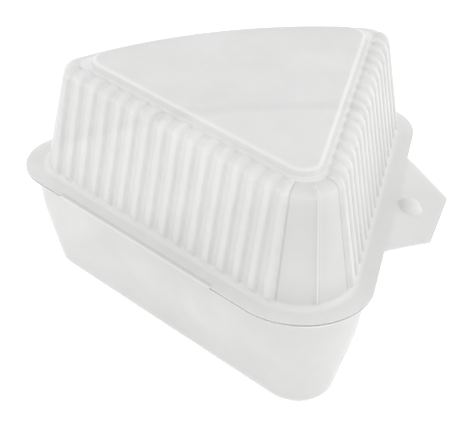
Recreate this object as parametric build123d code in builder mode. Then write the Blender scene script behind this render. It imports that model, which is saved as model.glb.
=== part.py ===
# Clear wedge clamshell for a slice of cake: a smooth tray, a ribbed lid and the fold that joins them.
import os
from math import atan2, cos, degrees, radians, sin, sqrt

from build123d import *

os.makedirs("parts", exist_ok=True)

# Plan of the wedge on the wall line, from which walls and rim are set in or out (mm and degrees)
side_angle = 29.25  # from the middle line to each straight side
wedge_length = 140.0  # from the point where the side lines meet to the middle of the back
back_radius = 163.0  # curve of the back

# Sheet and fits
sheet = 0.45  # thickness of the formed sheet
closing_gap = 0.1  # between the two rims when the lid is shut

# Rim, a flat border that both halves have
rim_height = 35.8  # top of the tray's rim
rim_width = 4.2  # out from the wall line
rim_tip_radius = 23.0
rim_corner_radius = 18.0

# Tray: a steep band under the rim, a bend and a wall that draws in to the floor
tray_tip_radius = 16.8
tray_corner_radius = 16.5
tray_flare = 1.6  # how far the wall stands outside the wall line under the rim
band_height = 24.0  # where the steep band ends
band_flare = 0.7  # how far the wall stands outside the wall line there
bend_height = 14.5  # where the bend ends
bend_inset = 1.9
floor_inset = 5.8
floor_round = 2.5

# Lid: a wall with ribs, a rounded shoulder and a raised panel on top
lid_height = 39.95  # from the foot of the wall to the top of the panel
foot_inset = 2.2
foot_tip_radius = 16.8
foot_corner_radius = 13.2
shoulder_drop = 2.4  # from the top of the panel down to the shoulder
shoulder_inset = 8.7  # wall line to the top of the wall, before rounding
shoulder_round = 3.6
panel_inset = 13.3  # wall line to the foot of the panel's step
panel_step_width = 1.6
panel_tip_radius = 7.0
panel_corner_radius = 8.0

# Ribs on the lid's straight sides
rib_pitch = 6.31
rib_start = 31.15  # from the point where the side lines meet to the first rib
rib_back_gap = 14.0  # at least this from the last rib to the back corner's point
rib_width = 3.4
rib_height = 1.3
rib_bevel_share = 0.6  # bevel along a rib's edges, of its height
rib_foot_gap = 0.9  # from the rim up to a rib's foot
rib_foot_slope = 1.4  # height of the slanted foot
rib_root = 2.0  # how deep a rib reaches into the form behind it
rib_end_gap = 0.9  # from the panel's step out to a rib's end on the shoulder
rib_round_share = 0.8  # largest rounding of a rib's shoulder, of its flat run there

# Closing tab on the right side, one on each half
tab_middle_share = 0.577  # its place on the straight side, from the point where the side lines meet
tab_root_length = 57.6
tab_end_length = 28.2
tab_depth = 14.2  # beyond the rim's edge, at the middle of the end
tab_skew = 1.3  # how much deeper the end is at its far corner, and shallower at its near one
tab_drop = 3.9  # how far the end hangs below the rim
tab_overlap = 2.0  # how far the tab reaches into the rim

# Snap button on the tab: a dome in the tray's tab under a dome in the lid's tab
button_radius = 3.0
button_reach = 4.6  # from the rim's edge out to the button's centre
button_clearance = 0.3

# Fold along the left side, opposite the tab, that serves as the hinge
fold_length = 68.0
fold_depth = 1.4
fold_end_gap = 0.2

slope = radians(side_angle)
rim_front = (rim_tip_radius - rim_width) / sin(slope) - rim_tip_radius  # from the side lines' meeting point
apex_setback = (wedge_length + rim_width + rim_front) / 2  # puts the origin under the middle of the rim
apex = Vector(0, -apex_setback, 0)
arc_centre = wedge_length - apex_setback - back_radius
up = Vector(0, 0, 1)
lid_rim_height = rim_height + closing_gap
panel_height = lid_rim_height + lid_height
shoulder_height = panel_height - shoulder_drop
fold_radius = sheet + closing_gap / 2
LEFT, RIGHT = -1, 1


def outward(side):
    """Level direction out of a straight side."""
    return Vector(side * cos(slope), -sin(slope), 0)


def backward(side):
    """Direction along a straight side, from the tip to the back."""
    return Vector(side * sin(slope), cos(slope), 0)


def across(side, along):
    """Plane that cuts a straight side square: X runs out of the wall line and Y up."""
    return Plane(apex + backward(side) * along, x_dir=outward(side), z_dir=outward(side).cross(up))


def wedge_corner(out):
    """Back corner of an unrounded wedge outside the wall line: its reach along the side and its place."""
    tip = -apex_setback - out / sin(slope)
    lead = tip - arc_centre
    reach = sqrt((back_radius + out) ** 2 - (lead * sin(slope)) ** 2) - lead * cos(slope)
    return reach, Vector(reach * sin(slope), tip + reach * cos(slope))


def wedge(out, tip_radius, corner_radius):
    """Rounded wedge that stands out of the wall line by a given amount."""
    right = wedge_corner(out)[1]
    left = Vector(-right.X, right.Y)
    with BuildSketch() as outline:
        with BuildLine():
            Polyline(left, (0, -apex_setback - out / sin(slope)), right)
            ThreePointArc(right, (0, arc_centre + back_radius + out), left)
        make_face()
        fillet(outline.vertices().sort_by(Axis.Y)[0], radius=tip_radius)
        fillet(outline.vertices().sort_by(Axis.Y)[-2:], radius=corner_radius)
    return outline.sketch


side_length = wedge_corner(0)[0]
tab_middle = tab_middle_share * side_length
rib_count = int((side_length - rib_back_gap - rib_start) / rib_pitch) + 1


def tray_form(inset):
    """Solid of the tray's bowl, drawn in all round by an inset."""
    stations = [
        (inset, floor_inset),
        (bend_height, bend_inset),
        (band_height, -band_flare),
        (rim_height, -tray_flare),
    ]
    with BuildPart() as form:
        for (low, low_inset), (high, high_inset) in zip(stations, stations[1:]):
            drawn_in = low_inset + inset
            with BuildSketch(Plane.XY.offset(low)):
                add(wedge(-drawn_in, tray_tip_radius - drawn_in, tray_corner_radius - drawn_in))
            extrude(amount=high - low, taper=-degrees(atan2(low_inset - high_inset, high - low)))
        fillet(form.edges().group_by(Axis.Z)[0], radius=floor_round - inset)
    return form.part


def rib_form(inset):
    """First rib of the left side, up the wall and over the shoulder, drawn in all round by an inset."""
    lean = (shoulder_inset - foot_inset) / (shoulder_height - lid_rim_height)
    crest = rib_height - inset
    foot = lid_rim_height + rib_foot_gap + inset
    knee = foot + rib_foot_slope
    top = shoulder_height + crest
    end = rib_end_gap + inset - panel_inset
    base = shoulder_height - rib_root

    def wall(height):
        return -foot_inset - lean * (height - lid_rim_height)

    run = wall(top) + crest - end
    with BuildPart() as form:
        with BuildSketch(across(LEFT, rib_start)) as profile:
            with BuildLine():
                Polyline(
                    (wall(foot) - rib_root, foot),
                    (wall(foot), foot),
                    (wall(knee) + crest, knee),
                    (wall(top) + crest, top),
                    (end, top),
                    (end - rib_end_gap, base),
                    (wall(base) - rib_root, base),
                    close=True,
                )
            make_face()
            corner = profile.vertices().group_by(Axis.Y)[-1].sort_by(Axis.X)[-1]
            fillet(corner, radius=min(shoulder_round + crest, rib_round_share * run))
        extrude(amount=rib_width / 2 - inset, both=True)
        flanks = form.faces().filter_by(Plane(apex, z_dir=backward(LEFT)))
        chamfer(flanks.edges(), length=rib_bevel_share * crest)
    return form.part


def lid_form(inset):
    """Solid of the lid's dome with its ribs, drawn in all round by an inset."""
    wall_height = shoulder_height - lid_rim_height
    left_rib = rib_form(inset)
    right_rib = mirror(left_rib, about=Plane.YZ)
    rib_steps = [number * rib_pitch for number in range(rib_count)]
    with BuildPart() as form:
        with BuildSketch(Plane.XY.offset(lid_rim_height)):
            add(wedge(-foot_inset - inset, foot_tip_radius - inset, foot_corner_radius - inset))
        extrude(amount=wall_height - inset, taper=degrees(atan2(shoulder_inset - foot_inset, wall_height)))
        fillet(form.edges().group_by(Axis.Z)[-1], radius=shoulder_round - inset)
        with BuildSketch(Plane.XY.offset(shoulder_height - inset)):
            add(wedge(-panel_inset - inset, panel_tip_radius - inset, panel_corner_radius - inset))
        extrude(amount=shoulder_drop, taper=degrees(atan2(panel_step_width, shoulder_drop)))
        with Locations([backward(LEFT) * step for step in rib_steps]):
            add(left_rib)
        with Locations([backward(RIGHT) * step for step in rib_steps]):
            add(right_rib)
    return form.part


def rim_form(bottom):
    """Flat border of one half, open at the left where the fold joins it."""
    with BuildPart() as form:
        with BuildSketch(Plane.XY.offset(bottom)):
            add(wedge(rim_width, rim_tip_radius, rim_corner_radius))
        extrude(amount=sheet)
        with BuildSketch(across(LEFT, tab_middle)):
            with Locations((rim_width, bottom + sheet / 2)):
                Rectangle(2 * fold_depth, 2 * sheet)
        extrude(amount=fold_length / 2, both=True, mode=Mode.SUBTRACT)
    return form.part


def tab_form(bottom):
    """Closing tab of one half: a bent strip trimmed to a trapezium in plan."""
    root = rim_width - tab_overlap
    end = rim_width + tab_depth
    strip_end = end + tab_skew
    strip_drop = tab_drop * (strip_end - rim_width) / tab_depth
    plan = Plane(apex + backward(RIGHT) * tab_middle, x_dir=-backward(RIGHT), z_dir=up)
    with BuildPart() as form:
        with BuildSketch(across(RIGHT, tab_middle)):
            with BuildLine():
                Polyline(
                    (root, bottom),
                    (rim_width, bottom),
                    (strip_end, bottom - strip_drop),
                    (strip_end, bottom - strip_drop + sheet),
                    (rim_width, bottom + sheet),
                    (root, bottom + sheet),
                    close=True,
                )
            make_face()
        extrude(amount=tab_root_length / 2, both=True)
        with BuildSketch(plan):
            with BuildLine():
                Polyline(
                    (-tab_root_length / 2, root),
                    (-tab_root_length / 2, rim_width),
                    (-tab_end_length / 2, end + tab_skew),
                    (tab_end_length / 2, end - tab_skew),
                    (tab_root_length / 2, rim_width),
                    (tab_root_length / 2, root),
                    close=True,
                )
            make_face()
        extrude(amount=panel_height, mode=Mode.INTERSECT)
    return form.part


def dome(radius, lift):
    """Cap of a ball centred on the tray's tab, from a given lift above the tab's underside."""
    droop = atan2(tab_drop, tab_depth)
    foot = rim_height - sheet - tab_drop * button_reach / tab_depth
    centre = across(RIGHT, tab_middle).from_local_coords((rim_width + button_reach, foot))
    stand = Plane(centre, x_dir=backward(RIGHT), z_dir=outward(RIGHT) * sin(droop) + up * cos(droop))
    with BuildPart(stand) as form:
        Sphere(radius)
        split(bisect_by=stand.offset(lift * cos(droop)), keep=Keep.TOP)
    return form.part


with BuildPart() as tray:
    add(tray_form(0))
    add(rim_form(rim_height - sheet))
    add(tab_form(rim_height - sheet))
    add(dome(button_radius, 0))
    add(tray_form(sheet), mode=Mode.SUBTRACT)
    add(dome(button_radius - sheet, 0), mode=Mode.SUBTRACT)
tray.part.label = "tray"
export_step(tray.part, "parts/tray.step")

with BuildPart() as lid:
    add(lid_form(0))
    add(rim_form(lid_rim_height))
    add(tab_form(lid_rim_height))
    add(dome(button_radius + button_clearance + sheet, sheet + closing_gap))
    add(lid_form(sheet), mode=Mode.SUBTRACT)
    add(dome(button_radius + button_clearance, 0), mode=Mode.SUBTRACT)
lid.part.label = "lid"
export_step(lid.part, "parts/lid.step")

with BuildPart() as living_hinge:
    with BuildSketch(across(LEFT, tab_middle)):
        with Locations((rim_width - fold_radius, rim_height + closing_gap / 2)):
            Circle(fold_radius)
            Rectangle(fold_depth - fold_radius, 2 * fold_radius, align=(Align.MAX, Align.CENTER))
            Rectangle(fold_depth, closing_gap, align=(Align.MAX, Align.CENTER), mode=Mode.SUBTRACT)
    extrude(amount=fold_length / 2 - fold_end_gap, both=True)
living_hinge.part.label = "living_hinge"
export_step(living_hinge.part, "parts/living_hinge.step")
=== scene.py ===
from math import acos, atan2, cos, hypot, pi, radians, sin, sqrt, tan

import bmesh
import bpy
import numpy as np
from bpy.props import FloatProperty, FloatVectorProperty, IntProperty, PointerProperty
from mathutils import Matrix, Vector


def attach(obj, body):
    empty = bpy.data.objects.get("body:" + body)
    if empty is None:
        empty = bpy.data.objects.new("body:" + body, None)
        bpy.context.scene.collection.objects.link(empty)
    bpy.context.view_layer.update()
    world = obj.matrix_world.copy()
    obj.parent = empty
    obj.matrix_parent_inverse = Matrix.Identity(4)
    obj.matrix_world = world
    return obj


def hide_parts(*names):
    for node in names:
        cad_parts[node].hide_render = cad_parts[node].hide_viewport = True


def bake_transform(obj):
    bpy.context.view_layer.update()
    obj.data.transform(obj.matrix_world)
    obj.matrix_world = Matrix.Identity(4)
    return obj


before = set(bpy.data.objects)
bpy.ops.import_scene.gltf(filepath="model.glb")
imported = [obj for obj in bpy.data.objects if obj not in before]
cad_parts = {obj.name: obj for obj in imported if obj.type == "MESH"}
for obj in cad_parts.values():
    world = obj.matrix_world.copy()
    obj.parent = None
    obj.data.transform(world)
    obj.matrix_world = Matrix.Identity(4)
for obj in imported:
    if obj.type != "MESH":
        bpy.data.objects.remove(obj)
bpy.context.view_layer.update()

bl_info = {
    "name": "Hinged dessert container",
    "version": (1, 0, 0),
    "blender": (4, 5, 0),
    "location": "View3D > Sidebar > Dessert container",
    "description": "Clear wedge clamshell for a slice of cake, with its studio",
    "category": "Object",
}

# Outlines: shares of the straight sides whose points shift as the outlines shrink
CORNER_RUN = 0.8  # length that a back corner counts for, of its radius and turn
TIP_GIVE = 0.14  # next to the tip
CORNER_GIVE = 0.06  # next to a back corner
CALM_GIVE = 0.02  # kept free before a smaller outline's corner

# Meshes: small lengths in metres, and counts of rows and columns
SHARP_ANGLE = radians(42)  # edges that turn more than this stay sharp
NEAR = 0.00003  # places along an outline that are nearer than this become one
SLACK = 0.000001  # allowed when a place is compared with an end
STEP_BACK = 0.00002  # half the run in which the rim steps back for the fold
TRAY_STEP = 0.0018  # longest run between two rows of points
LID_STEP = 0.0022
ARC_ROWS = 8  # rows in each curve of a profile
TRAY_COLUMNS = (26, 60, 18, 26)  # round the tip, along the side, round the corner, along the back
TRAY_RIM_ROUND = 0.0009
TRAY_WALL_ROUND = 0.06
FLOOR_BORDER = 0.008  # flat ring inside the floor's curve
FLOOR_MIDDLE = Vector((0, 0.016, 0))
FLOOR_RINGS = (0.8, 0.6, 0.4, 0.2)  # sizes of the rings inside it, as shares
PANEL_BORDER = 0.004  # flat ring inside the panel's edge
PANEL_MIDDLE = (0, 0.014)
PANEL_RINGS = (0.85, 0.68, 0.5, 0.32, 0.15)
RIB_FOOT_ROWS = 4
RIB_FLANK_COLUMNS = 4
CREST_SHARE = 0.6  # where a column stands on half a rib's flat top
VALLEY_SHARE = 0.4  # where a column stands in half the gap between two ribs
NOSE_COLUMNS = (9, 12)  # on the tip's rib and from there to the first rib
BACK_COLUMNS = (16, 30)  # round the corner and along the back
TAB_BEND_ROWS = 4
TAB_BUTTON_ROWS = 26
TAB_END_ROWS = 9
TAB_EDGE = 0.0006  # from the tab's edge to the row beside it
BUTTON_COLUMNS = 37
BUTTON_REACH = 1.8  # how far those columns reach to each side, in wide button radii
BUTTON_SPREAD = 1.25  # a wide button radius, in button radii
BUTTON_CROWN = 0.35  # power that rounds the button's crown
BUTTON_FOOT = 0.22  # share of the button's profile that rises steeply
FOLD_ARC_POINTS = 17
FOLD_ROWS = 49

# Cloudiness beside the values that a user may change, with a painted shade line and a painted highlight on the lid's
# tip
BEND_MILK = 0.0004  # metres, multiplied by how sharply the profile curves
BEND_MILK_LIMIT = 0.3
RIM_MILK_START = 0.0002  # inside the foot of the lid's wall, where the rim's milk begins
RIM_MILK_END = 0.002  # outside the foot, where it is full
FOLD_MILK = 0.8  # of the rim's
TAB_CLEARING = 0.3  # how much clearer the tab is at its end
BUTTON_MILK = 0.1
PAINTED_CREASE_SHADE = 0.65  # painted shade: how much clearer, and so darker, the sheet is in a line beside the first rib, standing in for the dark line of refraction and shade where that rib rises
PAINTED_GLINT = 0.9  # painted highlight: a cloudier, lighter line down the middle of the tip rib, standing in for a glint
STRAIN_MILK = 0.85  # how much the sheet's drawing, with the painted shade and painted highlight on the tip, and its clouds count
CLOUD_MILK = 0.3

# Marks on the lid's tip, as shares of a rib's width or of the tip rib's: the clearer tip, a painted shade line
# beside the first rib and a painted highlight down the middle of the tip rib
FRONT_START = 0.4  # before the first rib, where the clearer tip begins and where it is full
FRONT_FULL = 0.8
PAINTED_CREASE_PLACE = 0.6
PAINTED_CREASE_WIDTH = 0.16
PAINTED_GLINT_WIDTH = 0.14

# Surface of the sheet: shares, and a depth in metres
STRAIN_RUB = 0.1  # how much more a drawn sheet is rubbed
RUB_START = 0.45
RUB_FULL = 0.85
GRAIN_SHARE = 0.01  # of the waves' height
RELIEF_STRENGTH = 0.35
RELIEF_DEPTH = 0.0004
EDGE_BLEND = 0.35

# Noises of the sheet: scale, detail and roughness
STRAY_NOISE = (230.0, 1.0, 0.5)
CLOUD_NOISE = (38.0, 3.0, 0.55)
WAVE_NOISE = (90.0, 2.0, 0.4)
GRAIN_NOISE = (1500.0, 2.0, 0.6)
RUB_NOISE = (130.0, 3.0, 0.6)

# Stage, in metres
LIGHT_TARGET = Vector((0, 0, 0.04))
KEY_PLACE = Vector((-0.5, 0.35, 0.95))
KEY_SIZE = 0.9
FILL_PLACE = Vector((0.9, -0.35, 0.55))
FILL_SIZE = 0.7
FLOOR_REACH = 3.0
FLOOR_LEVEL = -0.0003  # just under the tray, so that the two don't flicker
FLOOR_ROUGHNESS = 0.7
SENSOR_WIDTH = 36.0  # mm
NEAR_CLIP = 0.01


def length(name, description, default):
    """A size in metres that a user may change."""
    return FloatProperty(name=name, description=description, default=default, unit="LENGTH", precision=5)


def share(name, description, default):
    """A number from 0 to 1 that a user may change."""
    return FloatProperty(name=name, description=description, default=default, min=0, max=1, subtype="FACTOR")


def colour(name, description, default):
    """A colour that a user may change."""
    return FloatVectorProperty(name=name, description=description, default=default, subtype="COLOR", min=0, max=1)


def place(name, description, default):
    """A point in the part's frame that a user may change."""
    return FloatVectorProperty(name=name, description=description, default=default, subtype="XYZ", unit="LENGTH")


class DESSERT_PG_plan(bpy.types.PropertyGroup):
    side_angle: FloatProperty(
        name="Side angle", description="From the middle line to each straight side",
        default=radians(29.25), subtype="ANGLE",
    )
    wedge_length: length("Wedge length", "From the point where the side lines meet to the middle of the back", 0.14)
    back_radius: length("Back radius", "Curve of the back", 0.163)
    sheet: length("Sheet", "Thickness of the formed sheet", 0.00045)
    closing_gap: length("Closing gap", "Between the two rims when shut", 0.0001)
    rim_height: length("Rim height", "Top of the tray's rim", 0.0358)
    rim_width: length("Rim width", "Out from the wall line", 0.0042)
    rim_tip_radius: length("Rim tip radius", "Curve of the rim at the tip", 0.023)
    rim_corner_radius: length("Rim corner radius", "Curve of the rim at the back corners", 0.018)


class DESSERT_PG_tray(bpy.types.PropertyGroup):
    tip_radius: length("Tip radius", "Curve of the tray's tip on the wall line", 0.0168)
    corner_radius: length("Corner radius", "Curve of the back corners on the wall line", 0.0165)
    flare: length("Flare", "How far the wall stands outside the wall line under the rim", 0.0016)
    band_height: length("Band height", "Where the steep band ends", 0.024)
    band_flare: length("Band flare", "How far the wall stands outside the wall line there", 0.0007)
    bend_height: length("Bend height", "Where the bend ends", 0.0145)
    bend_inset: length("Bend inset", "How far the wall is drawn in there", 0.0019)
    floor_inset: length("Floor inset", "How far the wall is drawn in at the floor", 0.0058)
    floor_round: length("Floor round", "Curve between wall and floor", 0.0025)


class DESSERT_PG_lid(bpy.types.PropertyGroup):
    height: length("Height", "From the foot of the wall to the top of the panel", 0.03995)
    foot_inset: length("Foot inset", "Wall line to the wall's foot", 0.0022)
    foot_tip_radius: length("Foot tip radius", "Curve of the tip at the foot", 0.0168)
    foot_corner_radius: length("Foot corner radius", "Curve of the back corners at the foot", 0.0132)
    foot_round: length("Foot round", "Curve between rim and wall", 0.002)
    shoulder_drop: length("Shoulder drop", "From the panel down to the shoulder", 0.0024)
    shoulder_inset: length("Shoulder inset", "Wall line to the top of the wall, before rounding", 0.0087)
    shoulder_round: length("Shoulder round", "Curve of the shoulder", 0.0036)
    panel_inset: length("Panel inset", "Wall line to the foot of the panel's step", 0.0133)
    panel_step: length("Panel step", "Width of the panel's slanted step", 0.0016)
    panel_tip_radius: length("Panel tip radius", "Curve of the panel's tip", 0.007)
    panel_corner_radius: length("Panel corner radius", "Curve of the panel's back corners", 0.008)
    panel_round: length("Panel round", "Curves at the panel's step", 0.0014)
    panel_dish: length("Panel dish", "How far the middle of the panel sinks", 0.00025)


class DESSERT_PG_ribs(bpy.types.PropertyGroup):
    count: IntProperty(name="Count", description="Ribs on each straight side", default=16, min=1)
    pitch: length("Pitch", "From rib to rib", 0.00631)
    start: length("Start", "From the point where the side lines meet to the first rib", 0.03115)
    width: length("Width", "Width of a rib at its root", 0.0042)
    crest: length("Crest", "Width of a rib's flat top", 0.0019)
    height: length("Height", "How far a rib stands out", 0.0013)
    foot_gap: length("Foot gap", "From the rim up to a rib's foot", 0.0009)
    foot_slope: length("Foot slope", "Height of the slanted foot", 0.0016)
    end_gap: length("End gap", "From the panel's step to a rib's end", 0.0007)
    end_slope: length("End slope", "Length of the rib's slanted end", 0.0014)
    wobble: length("Wobble", "How far the ribs' edges stray", 0.0007)
    tip_width: length("Tip width", "Width of the single rib on the tip", 0.0042)
    tip_height: length("Tip height", "How far the single rib on the tip stands out", 0.0009)


class DESSERT_PG_tab(bpy.types.PropertyGroup):
    middle: length("Middle", "From the point where the side lines meet to the tab's middle", 0.08225)
    root_length: length("Root length", "Length of the tab at the rim", 0.0576)
    end_length: length("End length", "Length of the tab's outer edge", 0.0282)
    depth: length("Depth", "How far the tab reaches beyond the rim", 0.0142)
    skew: length("Skew", "How much deeper the end is at its far corner", 0.0013)
    drop: length("Drop", "How far the outer edge hangs", 0.0039)
    bend: length("Bend", "Length of the curve at the root", 0.0016)
    button_reach: length("Button reach", "From the rim's edge to the button's centre", 0.0046)
    tray_button_radius: length("Tray button radius", "Foot of the tray's snap button", 0.0031)
    tray_button_height: length("Tray button height", "Rise of the tray's snap button", 0.00255)
    lid_button_radius: length("Lid button radius", "Foot of the lid's snap button", 0.0042)
    lid_button_height: length("Lid button height", "Rise of the lid's snap button", 0.00275)


class DESSERT_PG_fold(bpy.types.PropertyGroup):
    length: length("Length", "Length of the fold along the left side", 0.068)
    depth: length("Depth", "How far the fold reaches into the rims", 0.0014)
    end_gap: length("End gap", "Between the fold and the ends of its notch", 0.00004)
    join_gap: length("Join gap", "Between the fold's edges and the rims", 0.00004)


class DESSERT_PG_finish(bpy.types.PropertyGroup):
    clear_tint: colour("Clear tint", "Colour of the sheet where it is clearest", (0.56, 0.563, 0.558))
    milky_tint: colour("Milky tint", "Colour of the sheet where it is cloudier", (0.775, 0.775, 0.77))
    clear_body: share("Clear body", "How much of the light a face stops where it is clearest", 0.42)
    milky_body: share("Milky body", "How much of the light a face stops where it is cloudier", 0.86)
    edge_body: share("Edge body", "How much more a face stops when seen along it", 0.12)
    inner_share: share("Inner share", "How much of its body the sheet shows on its inner face", 0.1)
    gloss: share("Gloss", "How strongly the sheet mirrors its surroundings", 0.12)
    roughness: share("Roughness", "Roughness of the smooth sheet", 0.3)
    scuffed_roughness: share("Scuffed roughness", "Roughness where the sheet has been rubbed", 0.38)
    rim_milk: share("Rim milk", "How cloudy the rim is, where the sheet isn't drawn thin", 0.95)
    panel_milk: share("Panel milk", "How cloudy the lid's shoulder and panel are", 0.7)
    lid_milk: share("Lid milk", "How cloudy the lid's wall is between its ribs", 0.71)
    tray_milk: share("Tray milk", "How cloudy the tray is", 0.52)
    rib_milk: share("Rib milk", "How cloudy the ribs are", 0.74)
    tip_clear: share("Tip clear", "How much clearer the lid's tip is than its wall", 0.38)
    index: FloatProperty(name="Index", description="Refractive index of the sheet", default=1.57, min=1)


class DESSERT_PG_stage(bpy.types.PropertyGroup):
    floor_colour: colour("Floor colour", "Colour of the pale floor", (0.93, 0.93, 0.93))
    floor_glow: FloatProperty(
        name="Floor glow", description="Light that the floor gives of its own", default=0.35, min=0
    )
    sky_colour: colour("Sky colour", "Colour of the light from all round", (1.0, 1.0, 1.0))
    top_strength: FloatProperty(name="Top strength", description="Light from overhead", default=0.9, min=0)
    side_strength: FloatProperty(name="Side strength", description="Light from all sides", default=1.4, min=0)
    key_power: FloatProperty(name="Key power", description="Large soft light above", default=0.6, unit="POWER")
    fill_power: FloatProperty(name="Fill power", description="Soft light from the right", default=1.0, unit="POWER")
    camera_place: place("Camera place", "Where the camera stands", (-0.12635, -0.37052, 0.29262))
    camera_target: place("Camera target", "What the camera looks at", (-0.00802, -0.002838, 0.03523))
    camera_roll: FloatProperty(
        name="Camera roll", description="Turn about the view line", default=radians(2.4), subtype="ANGLE"
    )
    camera_lens: FloatProperty(name="Camera lens", description="Focal length in mm", default=111.08, min=1)


class DESSERT_PG_container(bpy.types.PropertyGroup):
    plan: PointerProperty(type=DESSERT_PG_plan)
    tray: PointerProperty(type=DESSERT_PG_tray)
    lid: PointerProperty(type=DESSERT_PG_lid)
    ribs: PointerProperty(type=DESSERT_PG_ribs)
    tab: PointerProperty(type=DESSERT_PG_tab)
    fold: PointerProperty(type=DESSERT_PG_fold)
    finish: PointerProperty(type=DESSERT_PG_finish)
    stage: PointerProperty(type=DESSERT_PG_stage)


class Wire:
    """One output in a node tree. Arithmetic on wires adds Math nodes, and node() adds any other node."""

    def __init__(self, tree, socket=None):
        self.tree = tree
        self.socket = socket

    def node(self, kind, settings=None, inputs=None, output=0):
        """Adds a node, sets it up, feeds its sockets with wires or plain values and returns one output."""
        made = self.tree.nodes.new(kind)
        for name, value in (settings or {}).items():
            setattr(made, name, value)
        for name, value in (inputs or {}).items():
            socket = self.pick(made.inputs, name)
            if isinstance(value, Wire):
                self.tree.links.new(value.socket, socket)
            else:
                socket.default_value = value
        return Wire(self.tree, self.pick(made.outputs, output) if made.outputs else None)

    def pick(self, sockets, name):
        """Socket in use with this number or name."""
        if isinstance(name, int):
            return sockets[name]
        return next(socket for socket in sockets if socket.enabled and socket.name == name)

    def maths(self, operation, *values):
        """Adds a Math node on numbers and wires."""
        return self.node("ShaderNodeMath", {"operation": operation}, dict(enumerate(values)))

    def smooth(self, value, low, high, at_low, at_high):
        """Eased change from one number to another while a value goes from low to high."""
        return self.node(
            "ShaderNodeMapRange",
            {"interpolation_type": "SMOOTHSTEP"},
            {"Value": value, "From Min": low, "From Max": high, "To Min": at_low, "To Max": at_high},
        )

    def noise(self, spot, kind):
        """Noise of one kind, which is its scale, detail and roughness."""
        scale, detail, roughness = kind
        inputs = {"Vector": spot, "Scale": scale, "Detail": detail, "Roughness": roughness}
        return self.node("ShaderNodeTexNoise", None, inputs)

    def __add__(self, other):
        return self.maths("ADD", self, other)

    __radd__ = __add__

    def __sub__(self, other):
        return self.maths("SUBTRACT", self, other)

    def __rsub__(self, other):
        return self.maths("SUBTRACT", other, self)

    def __mul__(self, other):
        return self.maths("MULTIPLY", self, other)

    __rmul__ = __mul__

    def __truediv__(self, other):
        return self.maths("DIVIDE", self, other)


class WedgeOutline:
    """The container's rounded wedge in plan, at any distance outside the wall line.

    A place on the right half of an outline is one number: the distance along the straight side from the point where
    the side lines meet, carried on round the tip and the back corner at the reference radii.
    """

    def __init__(self, plan, tip_radius, corner_radius, out):
        self.slope = plan.side_angle
        self.back_radius = plan.back_radius
        rim_front = (plan.rim_tip_radius - plan.rim_width) / sin(self.slope) - plan.rim_tip_radius
        self.setback = (plan.wedge_length + plan.rim_width + rim_front) / 2
        self.arc_centre = plan.wedge_length - self.setback - self.back_radius
        self.tip_bend = tip_radius
        self.corner_bend = CORNER_RUN * corner_radius
        self.tip_end, self.corner_start, corner_turn = self.tangents(out, tip_radius, corner_radius)[:3]
        span = self.corner_start - self.tip_end
        self.still_start = self.tip_end + TIP_GIVE * span
        self.still_end = self.corner_start - CORNER_GIVE * span
        self.tip_start = self.tip_end - self.tip_bend * (pi / 2 - self.slope)
        self.corner_end = self.corner_start + self.corner_bend * corner_turn
        self.back_end = self.corner_end + self.back_radius * (pi / 2 + self.slope - corner_turn)

    def tangents(self, out, tip_radius, corner_radius):
        """Where the straight side starts and ends at this outline, the corner's turn and the corner's centre."""
        start = (tip_radius - out) / tan(self.slope)
        inner = out - corner_radius
        tip = -self.setback - inner / sin(self.slope)
        lead = tip - self.arc_centre
        radius = self.back_radius + inner
        reach = sqrt(radius**2 - (lead * sin(self.slope)) ** 2) - lead * cos(self.slope)
        centre = (reach * sin(self.slope), tip + reach * cos(self.slope))
        turn = atan2(centre[1] - self.arc_centre, centre[0]) + self.slope
        return start, reach - inner / tan(self.slope), turn, centre

    def side_point(self, along, out):
        """Point out of the right side at a distance along it."""
        x = along * sin(self.slope) + out * cos(self.slope)
        return x, -self.setback + along * cos(self.slope) - out * sin(self.slope)

    def half(self, places, out, tip_radius, corner_radius):
        """Points of the right half of an outline, from the middle of the tip to the middle of the back."""
        start, end, turn, centre = self.tangents(out, tip_radius, corner_radius)
        tip_centre = -self.setback + (tip_radius - out) / sin(self.slope)
        back = self.back_radius + out
        calm = min(self.still_end, end - CALM_GIVE * self.still_end)
        known = (self.tip_end, self.still_start, calm, self.corner_start)
        held = (start, self.still_start, calm, end)
        points = []
        for place_along in places:
            if place_along < self.tip_end:
                angle = -self.slope - (self.tip_end - place_along) / self.tip_bend
                points.append((tip_radius * cos(angle), tip_centre + tip_radius * sin(angle)))
            elif place_along <= self.corner_start:
                points.append(self.side_point(float(np.interp(place_along, known, held)), out))
            elif place_along <= self.corner_end:
                part = (place_along - self.corner_start) / (self.corner_end - self.corner_start)
                angle = -self.slope + part * turn
                points.append((centre[0] + corner_radius * cos(angle), centre[1] + corner_radius * sin(angle)))
            else:
                part = (place_along - self.corner_end) / (self.back_end - self.corner_end)
                first = turn - self.slope
                angle = first + part * (pi / 2 - first)
                points.append((back * cos(angle), self.arc_centre + back * sin(angle)))
        return points

    def ring(self, places, out, tip_radius, corner_radius):
        """Closed outline, round from the tip by the right side, the back and the left side."""
        right = self.half(places, out, tip_radius, corner_radius)
        left = [(-x, y) for x, y in right[-2:0:-1]]
        return np.array(right + left)


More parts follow.
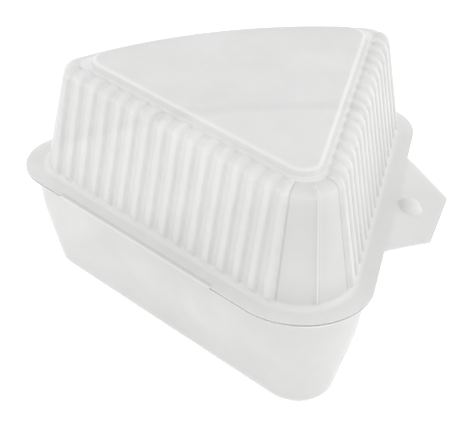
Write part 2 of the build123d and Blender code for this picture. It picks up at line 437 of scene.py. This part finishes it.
def rounded_profile(corners, step, arc_steps):
    """Line through (out, height, rounding) corners, each one rounded, in points no further apart than a step."""
    line = [np.array(corners[0][:2])]
    for number in range(1, len(corners)):
        here = np.array(corners[number][:2])
        goal = here
        arc = []
        if number < len(corners) - 1 and corners[number][2] > 0:
            before = np.array(corners[number - 1][:2]) - here
            after = np.array(corners[number + 1][:2]) - here
            before = before / np.linalg.norm(before)
            after = after / np.linalg.norm(after)
            half_angle = acos(max(-1, min(1, float(before @ after)))) / 2
            radius = corners[number][2]
            run = radius / tan(half_angle)
            middle = (before + after) / np.linalg.norm(before + after)
            centre = here + middle * radius / sin(half_angle)
            goal = here + before * run
            first = goal - centre
            last = here + after * run - centre
            turn = pi - 2 * half_angle
            for part in np.linspace(0, 1, arc_steps + 1)[1:]:
                arc.append(centre + (first * sin((1 - part) * turn) + last * sin(part * turn)) / sin(turn))
        stretch = goal - line[-1]
        pieces = max(1, int(np.ceil(np.linalg.norm(stretch) / step)))
        start = line[-1]
        line += [start + stretch * part / pieces for part in range(1, pieces + 1)]
        line += arc
    return np.array(line)


def even_places(stops, steps):
    """Places from each stop to the next in a given number of equal steps."""
    places = []
    for first, last, count in zip(stops, stops[1:], steps):
        places += list(np.linspace(first, last, count, endpoint=False))
    return places + [stops[-1]]


class SheetGrid:
    """Formed sheet as rings of points from the rim's edge to the middle, with a tab on the right of the rim."""

    def __init__(self):
        self.points = []
        self.faces = []
        self.marks = {"rib_along": [], "rib_reach": [], "strain": []}

    def add(self, position, along=0.0, reach=0.0, strain=0.0):
        """Adds one point and what is known there."""
        self.points.append(position)
        self.marks["rib_along"].append(along)
        self.marks["rib_reach"].append(reach)
        self.marks["strain"].append(strain)
        return len(self.points) - 1

    def quad(self, first, second, third, fourth, flip):
        """Adds one four-sided face, turned over where the sheet faces down."""
        corners = (first, second, third, fourth)
        self.faces.append(corners[::-1] if flip else corners)

    def close(self, rings, flip):
        """Faces between neighbouring closed rings."""
        count = len(rings[0])
        for outer, inner in zip(rings, rings[1:]):
            for number in range(count):
                follow = (number + 1) % count
                self.quad(outer[number], outer[follow], inner[follow], inner[number], flip)

    def fan(self, ring, middle, flip):
        """Triangles from the last ring to the middle."""
        count = len(ring)
        for number in range(count):
            corners = (ring[number], ring[(number + 1) % count], middle)
            self.faces.append(corners[::-1] if flip else corners)

    def mesh(self, name):
        """Plain mesh with the marks as attributes."""
        data = bpy.data.meshes.new(name)
        data.from_pydata([tuple(point) for point in self.points], [], self.faces)
        for mark, values in self.marks.items():
            data.attributes.new(mark, "FLOAT", "POINT").data.foreach_set("value", np.array(values, np.float32))
        data.update()
        return data


def tab_grid(grid, outline, plan, tab, edge, places, rim_level, button_height, button_radius, rim_milk, flip):
    """Closing tab: rows of points that carry the sheet on beyond the rim's edge and hang, with the button's dome."""
    half_root = tab.root_length / 2
    columns = [number for number, along in enumerate(places) if abs(along - tab.middle) <= half_root + SLACK]
    hang = tab.drop / (tab.depth - tab.bend / 2)
    droop = atan2(hang, 1)
    rows = [[edge[number] for number in columns]]
    beyond_button = 2 * tab.button_reach
    stations = sorted(set(np.round(np.concatenate([
        np.linspace(0, tab.bend, TAB_BEND_ROWS)[1:],
        np.linspace(tab.bend, beyond_button, TAB_BUTTON_ROWS),
        [tab.depth - TAB_EDGE, tab.depth],
        np.linspace(beyond_button, tab.depth, TAB_END_ROWS),
    ]), 6)))
    for reach in stations:
        narrowing = 1 - (1 - tab.end_length / tab.root_length) * reach / tab.depth
        row = []
        for number in columns:
            off = (places[number] - tab.middle) * narrowing
            stretch = 1 + tab.skew / tab.depth * (places[number] - tab.middle) / half_root
            far = hypot(off, (reach * stretch - tab.button_reach) / cos(droop))
            part = max(0.0, 1 - (far / button_radius) ** 2)
            foot = min(1.0, part / BUTTON_FOOT) ** 0.5
            rise = button_height * part * (2 - part) ** BUTTON_CROWN * foot if part else 0.0
            out = plan.rim_width + reach * stretch + rise * sin(droop)
            x, y = outline.side_point(tab.middle + off, out)
            strain = rim_milk * (1 - TAB_CLEARING * reach / tab.depth) + BUTTON_MILK * min(1.0, rise / button_height)
            bend = min(reach * stretch, tab.bend)
            drop = hang * (bend * bend / (2 * tab.bend) + reach * stretch - bend)
            row.append(grid.add((x, y, rim_level - drop + rise * cos(droop)), strain=strain))
        rows.append(row)
    for inner, outer in zip(rows, rows[1:]):
        for number in range(len(columns) - 1):
            grid.quad(outer[number], outer[number + 1], inner[number + 1], inner[number], flip)


def rim_edge(out, along, left, plan, tab, fold):
    """Reach of the rim at a place: it steps back on the left, where the fold joins it."""
    notch = plan.rim_width - fold.depth - fold.join_gap
    if left and abs(along - tab.middle) < fold.length / 2:
        return min(out, notch)
    return out


def sheet_rings(grid, outline, places, levels, plan, tab, fold, reaches):
    """Rings of the sheet through its levels, each an out, a height, two radii and a strain."""
    rings = []
    count = len(places)
    for (out, height, tip_radius, corner_radius, strain), reach in zip(levels, reaches):
        points = outline.ring(places, out, tip_radius, corner_radius)
        ring = []
        for number, (x, y) in enumerate(points):
            left = number >= count
            along = places[number] if not left else places[2 * (count - 1) - number]
            edge = rim_edge(out, along, left, plan, tab, fold)
            if edge < out:
                x, y = outline.side_point(along, edge)
                x = -x
            ring.append(grid.add((x, y, height), along, reach, strain))
        rings.append(ring)
    return rings


def fill_middle(grid, ring, centre, shares, dish, milk, flip):
    """Rings that shrink from the last one to the middle of a floor or panel."""
    rings = [ring]
    edge = [Vector(grid.points[number]) for number in ring]
    for part in shares:
        sink = dish * (1 - part * part)
        spots = [centre + (point - centre) * part - Vector((0, 0, sink)) for point in edge]
        rings.append([grid.add(tuple(spot), strain=milk) for spot in spots])
    grid.close(rings, flip)
    grid.fan(rings[-1], grid.add(tuple(centre - Vector((0, 0, dish))), strain=milk), flip)


def rib_tree():
    """Geometry tree that raises the ribs out of the lid's sheet, by place along the side and reach up the wall, and
    marks their cloudiness, with a painted shade line beside the first rib and a painted highlight down the middle of
    the tip rib.
    """
    tree = bpy.data.node_groups.new("lid ribs", "GeometryNodeTree")
    tree.interface.new_socket("Geometry", in_out="OUTPUT", socket_type="NodeSocketGeometry")
    tree.interface.new_socket("Geometry", in_out="INPUT", socket_type="NodeSocketGeometry")
    names = (
        "Start", "Pitch", "Last", "Width", "Crest", "Height", "Tip", "Tip Width", "Tip Height", "Milk", "Tip Clear",
        "Wobble",
    )
    for name in names:
        tree.interface.new_socket(name, in_out="INPUT", socket_type="NodeSocketFloat")
    tree.interface.new_socket("Material", in_out="INPUT", socket_type="NodeSocketMaterial")
    wire = Wire(tree)
    given = tree.nodes.new("NodeGroupInput")
    sizes = [Wire(tree, given.outputs[name]) for name in names]
    start, pitch, last, width, crest, height, tip, tip_width, tip_height, rib_milk, tip_clear, wobble = sizes
    known = {"data_type": "FLOAT"}
    along = wire.node("GeometryNodeInputNamedAttribute", known, {"Name": "rib_along"})
    reach = wire.node("GeometryNodeInputNamedAttribute", known, {"Name": "rib_reach"})
    position = wire.node("GeometryNodeInputPosition")
    stray = wire.noise(position, STRAY_NOISE)
    step = (along + (stray - 0.5) * wobble - start) / pitch
    nearest = wire.maths("MINIMUM", wire.maths("MAXIMUM", wire.maths("ROUND", step), 0.0), last)
    apart = wire.maths("ABSOLUTE", step - nearest) * pitch
    raised = wire.smooth(apart, crest * 0.5, width * 0.5, 1.0, 0.0)
    nose = wire.smooth(along - tip, 0.0, tip_width * 0.5, 1.0, 0.0)
    normal = wire.node("GeometryNodeInputNormal")
    rise = (raised * height + nose * tip_height) * reach
    lift = wire.node("ShaderNodeVectorMath", {"operation": "SCALE"}, {"Vector": normal, "Scale": rise})
    moved = wire.node("GeometryNodeSetPosition", None, {"Geometry": Wire(tree, given.outputs[0]), "Offset": lift})
    front = wire.smooth(start - along, width * FRONT_START, width * FRONT_FULL, 0.0, 1.0)
    strain = wire.node("GeometryNodeInputNamedAttribute", known, {"Name": "strain"})
    # Painted shade: the sheet is made clearer, and so darker, in a line beside the first rib
    root = start - width * PAINTED_CREASE_PLACE
    painted_crease_shade = wire.smooth(wire.maths("ABSOLUTE", along - root), 0.0, width * PAINTED_CREASE_WIDTH, PAINTED_CREASE_SHADE, 0.0)
    # Painted highlight: the sheet is made cloudier, and so lighter, in a line down the middle of the tip rib
    painted_glint = wire.smooth(along - tip, 0.0, tip_width * PAINTED_GLINT_WIDTH, PAINTED_GLINT, 0.0)
    # thin holds the clearer tip and also the painted shade line beside the first rib
    thin = wire.maths("MAXIMUM", front * tip_clear * (nose * 0.5 + 0.5), painted_crease_shade)
    milk_with_painted_marks = wire.maths("MAXIMUM", strain * (1.0 - thin * reach), painted_glint * reach)
    # The stored strain carries the painted shade line and the painted highlight line into the material
    marked = wire.node(
        "GeometryNodeStoreNamedAttribute",
        {"data_type": "FLOAT", "domain": "POINT"},
        {"Geometry": moved, "Name": "strain", "Value": wire.maths("MAXIMUM", milk_with_painted_marks, raised * reach * rib_milk)},
    )
    real = wire.node("GeometryNodeRealizeInstances", None, {"Geometry": marked})
    material = Wire(tree, given.outputs["Material"])
    painted = wire.node("GeometryNodeSetMaterial", None, {"Geometry": real, "Material": material})
    out = tree.nodes.new("NodeGroupOutput")
    tree.links.new(painted.socket, out.inputs[0])
    return tree


def set_inputs(modifier, tree, values):
    """Sets a modifier's named inputs by their identifiers."""
    for item in tree.interface.items_tree:
        if item.item_type == "SOCKET" and item.in_out == "INPUT" and item.name in values:
            modifier[item.identifier] = values[item.name]


def made_plain(piece):
    """Turns a piece with modifiers into a plain mesh, smooth apart from its sharp edges."""
    depsgraph = bpy.context.evaluated_depsgraph_get()
    data = bpy.data.meshes.new_from_object(piece.evaluated_get(depsgraph))
    piece.modifiers.clear()
    spent = piece.data
    inside = np.arange(len(data.vertices)) >= len(spent.vertices)
    data.attributes.new("inside", "FLOAT", "POINT").data.foreach_set("value", inside.astype(np.float32))
    piece.data = data
    bpy.data.meshes.remove(spent)
    data.shade_smooth()
    data.set_sharp_from_angle(angle=SHARP_ANGLE)
    return piece


def linked(name, data):
    """New object in the scene with this mesh."""
    piece = bpy.data.objects.new(name, data)
    bpy.context.scene.collection.objects.link(piece)
    return piece


def thickened(piece, thickness):
    """Gives the sheet its thickness, inwards from its outer face."""
    wall = piece.modifiers.new("sheet", "SOLIDIFY")
    wall.thickness = thickness
    wall.offset = -1
    wall.use_quality_normals = True
    return piece


def clear_sheet():
    """Clear formed plastic: faintly milky, gently wavy and rubbed in places."""
    found = bpy.data.materials.get("clear sheet")
    if found:
        return found
    finish = bpy.context.scene.dessert_container.finish
    material = bpy.data.materials.new("clear sheet")
    material.use_nodes = True
    tree = material.node_tree
    tree.nodes.clear()
    wire = Wire(tree)
    spot = wire.node("ShaderNodeTexCoord", output="Object")
    # strain also carries the painted shade line and the painted highlight line on the lid's tip
    strain = wire.node("ShaderNodeAttribute", {"attribute_name": "strain"}, output="Fac")
    inside = wire.node("ShaderNodeAttribute", {"attribute_name": "inside"}, output="Fac")
    clouds = wire.noise(spot, CLOUD_NOISE)
    waves = wire.noise(spot, WAVE_NOISE)
    grain = wire.noise(spot, GRAIN_NOISE)
    rubs = wire.noise(spot, RUB_NOISE)
    rubbed = wire.smooth(rubs + strain * STRAIN_RUB, RUB_START, RUB_FULL, 0.0, 1.0)
    milk = wire.maths("MINIMUM", strain * STRAIN_MILK + clouds * CLOUD_MILK, 1.0)
    tint = wire.node(
        "ShaderNodeMix",
        {"data_type": "RGBA"},
        {"Factor": milk, "A": (*finish.clear_tint, 1.0), "B": (*finish.milky_tint, 1.0)},
        "Result",
    )
    relief = wire.node(
        "ShaderNodeBump",
        None,
        {"Height": waves + grain * GRAIN_SHARE, "Strength": RELIEF_STRENGTH, "Distance": RELIEF_DEPTH},
    )
    edge = wire.node("ShaderNodeLayerWeight", None, {"Blend": EDGE_BLEND}, "Facing")
    body = finish.clear_body + (finish.milky_body - finish.clear_body) * milk + finish.edge_body * edge
    shown = 1.0 - inside * (1.0 - finish.inner_share)
    surface = wire.node(
        "ShaderNodeBsdfPrincipled",
        None,
        {
            "Base Color": tint,
            "Roughness": finish.roughness + (finish.scuffed_roughness - finish.roughness) * rubbed,
            "Alpha": wire.maths("MINIMUM", body * shown, 1.0),
            "Normal": relief,
            "IOR": finish.index,
            "Specular IOR Level": finish.gloss,
        },
    )
    wire.node("ShaderNodeOutputMaterial", None, {"Surface": surface})
    return material


def finished(piece, node, body):
    """Hands a finished piece to the frame."""
    if not piece.data.materials:
        piece.data.materials.append(clear_sheet())
    if body:
        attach(piece, body)
    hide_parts(node)


def level_milk(profile, known, given):
    """How cloudy each point of a profile is, 0 to 1: by its place out of the wall line, and more where it bends."""
    milk = np.interp(profile[:, 0], known, given)
    ways = np.diff(profile, axis=0)
    runs = np.linalg.norm(ways, axis=1)
    ways = ways / runs[:, None]
    turns = np.arccos(np.clip((ways[1:] * ways[:-1]).sum(1), -1, 1))
    milk[1:-1] += np.clip(BEND_MILK * 2 * turns / (runs[1:] + runs[:-1]), 0, BEND_MILK_LIMIT)
    return np.minimum(milk, 1.0)


def merged_places(places, first, last, apart):
    """Places in order, from the first to the last, with near neighbours dropped."""
    kept = [first]
    for value in sorted(places):
        if value - kept[-1] > apart and last - value > apart:
            kept.append(float(value))
    return kept + [last]


def fold_ends(tab, fold):
    """Pairs of places where the rim steps back for the fold, and the ends of the tab's root."""
    half = fold.length / 2
    ends = [tab.middle + side * (half + shift) for side in (-1, 1) for shift in (-STEP_BACK, STEP_BACK)]
    return ends + [tab.middle - tab.root_length / 2, tab.middle + tab.root_length / 2]


class DESSERT_OT_tray(bpy.types.Operator):
    """Make the smooth tray with its rim, tab and snap button"""

    bl_idname = "dessert.tray"
    bl_label = "Tray"

    def execute(self, context):
        sizes = context.scene.dessert_container
        plan, tray, tab, fold = sizes.plan, sizes.tray, sizes.tab, sizes.fold
        outline = WedgeOutline(plan, tray.tip_radius, tray.corner_radius, 0)
        under = plan.rim_height - plan.sheet
        profile = rounded_profile(
            [
                (plan.rim_width, under, 0),
                (tray.flare, under, TRAY_RIM_ROUND),
                (tray.band_flare, tray.band_height, TRAY_WALL_ROUND),
                (-tray.bend_inset, tray.bend_height, TRAY_WALL_ROUND),
                (-tray.floor_inset, 0, tray.floor_round),
                (-tray.floor_inset - FLOOR_BORDER, 0, 0),
            ],
            TRAY_STEP,
            ARC_ROWS,
        )
        known = (-tray.tip_radius, tray.flare, plan.rim_width)
        tips = np.interp(profile[:, 0], known, (0, tray.tip_radius + tray.flare, plan.rim_tip_radius))
        spare = tray.corner_radius - tray.tip_radius
        corners = np.interp(profile[:, 0], known, (spare, tray.corner_radius + tray.flare, plan.rim_corner_radius))
        finish = sizes.finish
        milk = level_milk(profile, (tray.flare, plan.rim_width), (finish.tray_milk, finish.rim_milk))
        levels = list(zip(profile[:, 0], profile[:, 1], tips, corners, milk))
        stops = (outline.tip_start, outline.tip_end, outline.corner_start, outline.corner_end, outline.back_end)
        places = even_places(stops, TRAY_COLUMNS) + fold_ends(tab, fold)
        sides = np.linspace(-BUTTON_REACH, BUTTON_REACH, BUTTON_COLUMNS)
        places += list(tab.middle + sides * tab.tray_button_radius * BUTTON_SPREAD)
        places = merged_places(places, outline.tip_start, outline.back_end, NEAR)
        grid = SheetGrid()
        rings = sheet_rings(grid, outline, places, levels, plan, tab, fold, np.zeros(len(levels)))
        grid.close(rings, True)
        fill_middle(grid, rings[-1], FLOOR_MIDDLE, FLOOR_RINGS, 0, finish.tray_milk, True)
        tab_grid(
            grid, outline, plan, tab, rings[0], places, under, tab.tray_button_height, tab.tray_button_radius,
            finish.rim_milk, True,
        )
        piece = linked("tray_sheet", grid.mesh("tray sheet"))
        made_plain(thickened(piece, plan.sheet))
        finished(piece, "tray", "tray")
        return {"FINISHED"}


class DESSERT_OT_lid(bpy.types.Operator):
    """Make the ribbed lid with its raised panel, rim, tab and snap button"""

    bl_idname = "dessert.lid"
    bl_label = "Lid"

    def execute(self, context):
        sizes = context.scene.dessert_container
        plan, lid, ribs, tab, fold = sizes.plan, sizes.lid, sizes.ribs, sizes.tab, sizes.fold
        outline = WedgeOutline(plan, lid.foot_tip_radius, lid.foot_corner_radius, -lid.foot_inset)
        rim_top = plan.rim_height + plan.closing_gap + plan.sheet
        panel_height = plan.rim_height + plan.closing_gap + lid.height
        shoulder = panel_height - lid.shoulder_drop
        lean = (lid.shoulder_inset - lid.foot_inset) / (shoulder - rim_top)
        foot_rows = [ribs.foot_gap + ribs.foot_slope * part / RIB_FOOT_ROWS for part in range(RIB_FOOT_ROWS + 1)]
        wall = [(-lid.foot_inset - lean * rise, rim_top + rise, 0) for rise in foot_rows if rise > lid.foot_round]
        step_top = -lid.panel_inset - lid.panel_step
        profile = rounded_profile(
            [(plan.rim_width, rim_top, 0), (-lid.foot_inset, rim_top, lid.foot_round)]
            + wall
            + [
                (-lid.shoulder_inset, shoulder, lid.shoulder_round),
                (-lid.panel_inset, shoulder, lid.panel_round),
                (step_top, panel_height, lid.panel_round),
                (step_top - PANEL_BORDER, panel_height, 0),
            ],
            LID_STEP,
            ARC_ROWS,
        )
        outs, heights = profile[:, 0], profile[:, 1]
        top_out = -lid.shoulder_inset - lid.shoulder_round
        known = (step_top - PANEL_BORDER, step_top, -lid.panel_inset, top_out, -lid.foot_inset, plan.rim_width)
        drawn = top_out + lid.foot_inset
        tip, corner = lid.panel_tip_radius, lid.panel_corner_radius
        tips = np.interp(outs, known, (
            tip - lid.panel_step - PANEL_BORDER, tip - lid.panel_step, tip,
            lid.foot_tip_radius + drawn, lid.foot_tip_radius, plan.rim_tip_radius,
        ))
        corners = np.interp(outs, known, (
            corner - lid.panel_step - PANEL_BORDER, corner - lid.panel_step, corner,
            lid.foot_corner_radius + drawn, lid.foot_corner_radius, plan.rim_corner_radius,
        ))
        finish = sizes.finish
        milk = level_milk(
            profile,
            (
                -lid.panel_inset, -lid.shoulder_inset,
                -lid.foot_inset - RIM_MILK_START, -lid.foot_inset + RIM_MILK_END,
            ),
            (finish.panel_milk, finish.lid_milk, finish.lid_milk, finish.rim_milk),
        )
        levels = list(zip(outs, heights, tips, corners, milk))
        rise = np.clip((heights - rim_top - ribs.foot_gap) / ribs.foot_slope, 0, 1)
        fade = np.clip((outs + lid.panel_inset - ribs.end_gap) / ribs.end_slope, 0, 1)
        reaches = rise * rise * (3 - 2 * rise) * fade * fade * (3 - 2 * fade)
        centres = [ribs.start + number * ribs.pitch for number in range(ribs.count)]
        half_width, half_crest = ribs.width / 2, ribs.crest / 2
        flank = half_width - half_crest
        valley = ribs.pitch / 2 - half_width
        shifts = [0, CREST_SHARE * half_crest, half_crest]
        shifts += [half_crest + flank * part / RIB_FLANK_COLUMNS for part in range(1, RIB_FLANK_COLUMNS + 1)]
        shifts += [half_width + VALLEY_SHARE * valley, half_width + valley]
        places = [centre + side * shift for centre in centres for shift in shifts for side in (-1, 1)]
        nose = outline.tip_start + ribs.tip_width / 2
        places += even_places((outline.tip_start, nose, centres[0] - ribs.pitch / 2), NOSE_COLUMNS)
        places += even_places((centres[-1] + ribs.pitch / 2, outline.corner_end, outline.back_end), BACK_COLUMNS)
        places = merged_places(places + fold_ends(tab, fold), outline.tip_start, outline.back_end, NEAR)
        grid = SheetGrid()
        rings = sheet_rings(grid, outline, places, levels, plan, tab, fold, reaches)
        grid.close(rings, False)
        middle = Vector((*PANEL_MIDDLE, panel_height))
        fill_middle(grid, rings[-1], middle, PANEL_RINGS, lid.panel_dish, finish.panel_milk, False)
        tab_grid(
            grid, outline, plan, tab, rings[0], places, rim_top, tab.lid_button_height, tab.lid_button_radius,
            finish.rim_milk, False,
        )
        piece = linked("lid_sheet", grid.mesh("lid sheet"))
        tree = rib_tree()
        modifier = piece.modifiers.new("ribs", "NODES")
        modifier.node_group = tree
        set_inputs(modifier, tree, {
            "Start": ribs.start, "Pitch": ribs.pitch, "Last": float(ribs.count - 1), "Width": ribs.width,
            "Crest": ribs.crest, "Height": ribs.height, "Tip": outline.tip_start, "Tip Width": ribs.tip_width,
            "Tip Height": ribs.tip_height, "Milk": finish.rib_milk, "Tip Clear": finish.tip_clear,
            "Wobble": ribs.wobble, "Material": clear_sheet(),
        })
        made_plain(thickened(piece, plan.sheet))
        finished(piece, "lid", "lid")
        return {"FINISHED"}


class DESSERT_OT_fold(bpy.types.Operator):
    """Make the fold of the sheet that joins the two rims on the left"""

    bl_idname = "dessert.fold"
    bl_label = "Fold"

    def execute(self, context):
        sizes = context.scene.dessert_container
        plan, tab, fold = sizes.plan, sizes.tab, sizes.fold
        outline = WedgeOutline(plan, plan.rim_tip_radius, plan.rim_corner_radius, plan.rim_width)
        inner = plan.closing_gap / 2
        outer = inner + plan.sheet
        level = plan.rim_height + inner
        turn = plan.rim_width - outer
        root = plan.rim_width - fold.depth
        angles = np.linspace(pi / 2, -pi / 2, FOLD_ARC_POINTS)
        section = [(root, level + outer)] + [(turn + outer * cos(a), level + outer * sin(a)) for a in angles]
        section += [(root, level - outer), (root, level - inner)]
        section += [(turn + inner * cos(a), level + inner * sin(a)) for a in angles[::-1]] + [(root, level + inner)]
        half = fold.length / 2 - fold.end_gap
        build = bmesh.new()
        rows = []
        for along in np.linspace(tab.middle - half, tab.middle + half, FOLD_ROWS):
            row = []
            for out, height in section:
                x, y = outline.side_point(along, out)
                row.append(build.verts.new((-x, y, height)))
            rows.append(row)
        count = len(section)
        for first, second in zip(rows, rows[1:]):
            for number in range(count):
                follow = (number + 1) % count
                build.faces.new((first[number], first[follow], second[follow], second[number]))
        build.faces.new(rows[0][::-1])
        build.faces.new(rows[-1])
        bmesh.ops.recalc_face_normals(build, faces=build.faces)
        data = bpy.data.meshes.new("fold sheet")
        build.to_mesh(data)
        build.free()
        strain = np.full(len(data.vertices), FOLD_MILK * sizes.finish.rim_milk, np.float32)
        data.attributes.new("strain", "FLOAT", "POINT").data.foreach_set("value", strain)
        data.shade_smooth()
        data.set_sharp_from_angle(angle=SHARP_ANGLE)
        piece = linked("fold_sheet", data)
        finished(piece, "living_hinge", None)
        middle = outline.side_point(tab.middle, turn)
        start = (-middle[0], middle[1], level - inner - plan.sheet / 2)
        end = (-middle[0], middle[1], level + inner + plan.sheet / 2)
        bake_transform(piece)
        return {"FINISHED"}


class DESSERT_OT_stage(bpy.types.Operator):
    """Set up the pale floor, the soft lights and the camera"""

    bl_idname = "dessert.stage"
    bl_label = "Stage"

    def execute(self, context):
        stage = context.scene.dessert_container.stage
        self.floor(stage)
        self.sky(stage)
        self.soft_light("key light", KEY_PLACE, KEY_SIZE, stage.key_power)
        self.soft_light("fill light", FILL_PLACE, FILL_SIZE, stage.fill_power)
        self.camera(stage)
        context.scene.view_settings.view_transform = "Standard"
        return {"FINISHED"}

    def floor(self, stage):
        """Pale floor that glows a little."""
        size = FLOOR_REACH
        data = bpy.data.meshes.new("floor")
        corners = [(-size, -size), (size, -size), (size, size), (-size, size)]
        data.from_pydata([(x, y, FLOOR_LEVEL) for x, y in corners], [], [(0, 1, 2, 3)])
        piece = linked("floor", data)
        material = bpy.data.materials.new("pale floor")
        material.use_nodes = True
        tree = material.node_tree
        tree.nodes.clear()
        wire = Wire(tree)
        shade = (*stage.floor_colour, 1.0)
        surface = wire.node(
            "ShaderNodeBsdfPrincipled",
            None,
            {
                "Base Color": shade, "Roughness": FLOOR_ROUGHNESS,
                "Emission Color": shade, "Emission Strength": stage.floor_glow,
            },
        )
        wire.node("ShaderNodeOutputMaterial", None, {"Surface": surface})
        data.materials.append(material)

    def sky(self, stage):
        """White light from all round, stronger from the sides."""
        world = bpy.data.worlds.new("studio")
        world.use_nodes = True
        world.node_tree.nodes.clear()
        wire = Wire(world.node_tree)
        way = wire.node("ShaderNodeTexCoord", output="Generated")
        height = wire.node("ShaderNodeSeparateXYZ", None, {"Vector": way}, "Z")
        strength = wire.smooth(height, 0.0, 1.0, stage.side_strength, stage.top_strength)
        glow = wire.node("ShaderNodeBackground", None, {"Color": (*stage.sky_colour, 1.0), "Strength": strength})
        wire.node("ShaderNodeOutputWorld", None, {"Surface": glow})
        bpy.context.scene.world = world

    def soft_light(self, name, spot, size, power):
        """Large square light turned to the container."""
        data = bpy.data.lights.new(name, "AREA")
        data.size = size
        data.energy = power
        lamp = bpy.data.objects.new(name, data)
        turn = (LIGHT_TARGET - spot).to_track_quat("-Z", "Y")
        lamp.matrix_world = Matrix.Translation(spot) @ turn.to_matrix().to_4x4()
        bpy.context.scene.collection.objects.link(lamp)

    def camera(self, stage):
        """Camera at the photo's angle."""
        spot, target = Vector(stage.camera_place), Vector(stage.camera_target)
        back = (spot - target).normalized()
        right = Vector((0, 0, 1)).cross(back).normalized()
        rise = back.cross(right)
        turned = right * cos(stage.camera_roll) + rise * sin(stage.camera_roll)
        upright = rise * cos(stage.camera_roll) - right * sin(stage.camera_roll)
        data = bpy.data.cameras.new("photo view")
        data.sensor_fit = "HORIZONTAL"
        data.sensor_width = SENSOR_WIDTH
        data.lens = stage.camera_lens
        data.clip_start = NEAR_CLIP
        view = bpy.data.objects.new("photo view", data)
        view.matrix_world = Matrix.Translation(spot) @ Matrix((turned, upright, back)).transposed().to_4x4()
        bpy.context.scene.collection.objects.link(view)
        bpy.context.scene.camera = view


class DESSERT_PT_container(bpy.types.Panel):
    """Lists the sizes and what can be made"""

    bl_idname = "DESSERT_PT_container"
    bl_label = "Dessert container"
    bl_space_type = "VIEW_3D"
    bl_region_type = "UI"
    bl_category = "Dessert container"

    def draw(self, context):
        sizes = context.scene.dessert_container
        for name in ("plan", "tray", "lid", "ribs", "tab", "fold", "finish", "stage"):
            box = self.layout.box()
            box.label(text=name.capitalize())
            group = getattr(sizes, name)
            for size in group.__annotations__:
                box.prop(group, size)
        for operator in OPERATORS:
            self.layout.operator(operator.bl_idname)


OPERATORS = (DESSERT_OT_tray, DESSERT_OT_lid, DESSERT_OT_fold, DESSERT_OT_stage)
CLASSES = (
    DESSERT_PG_plan, DESSERT_PG_tray, DESSERT_PG_lid, DESSERT_PG_ribs, DESSERT_PG_tab, DESSERT_PG_fold,
    DESSERT_PG_finish, DESSERT_PG_stage, DESSERT_PG_container, *OPERATORS, DESSERT_PT_container,
)


def register():
    for made in CLASSES:
        bpy.utils.register_class(made)
    bpy.types.Scene.dessert_container = PointerProperty(type=DESSERT_PG_container)


def unregister():
    del bpy.types.Scene.dessert_container
    for made in reversed(CLASSES):
        bpy.utils.unregister_class(made)


def main():
    """Builds the container and its studio."""
    register()
    bpy.ops.dessert.tray()
    bpy.ops.dessert.lid()
    bpy.ops.dessert.fold()
    bpy.ops.dessert.stage()


if __name__ == "__main__":
    main()
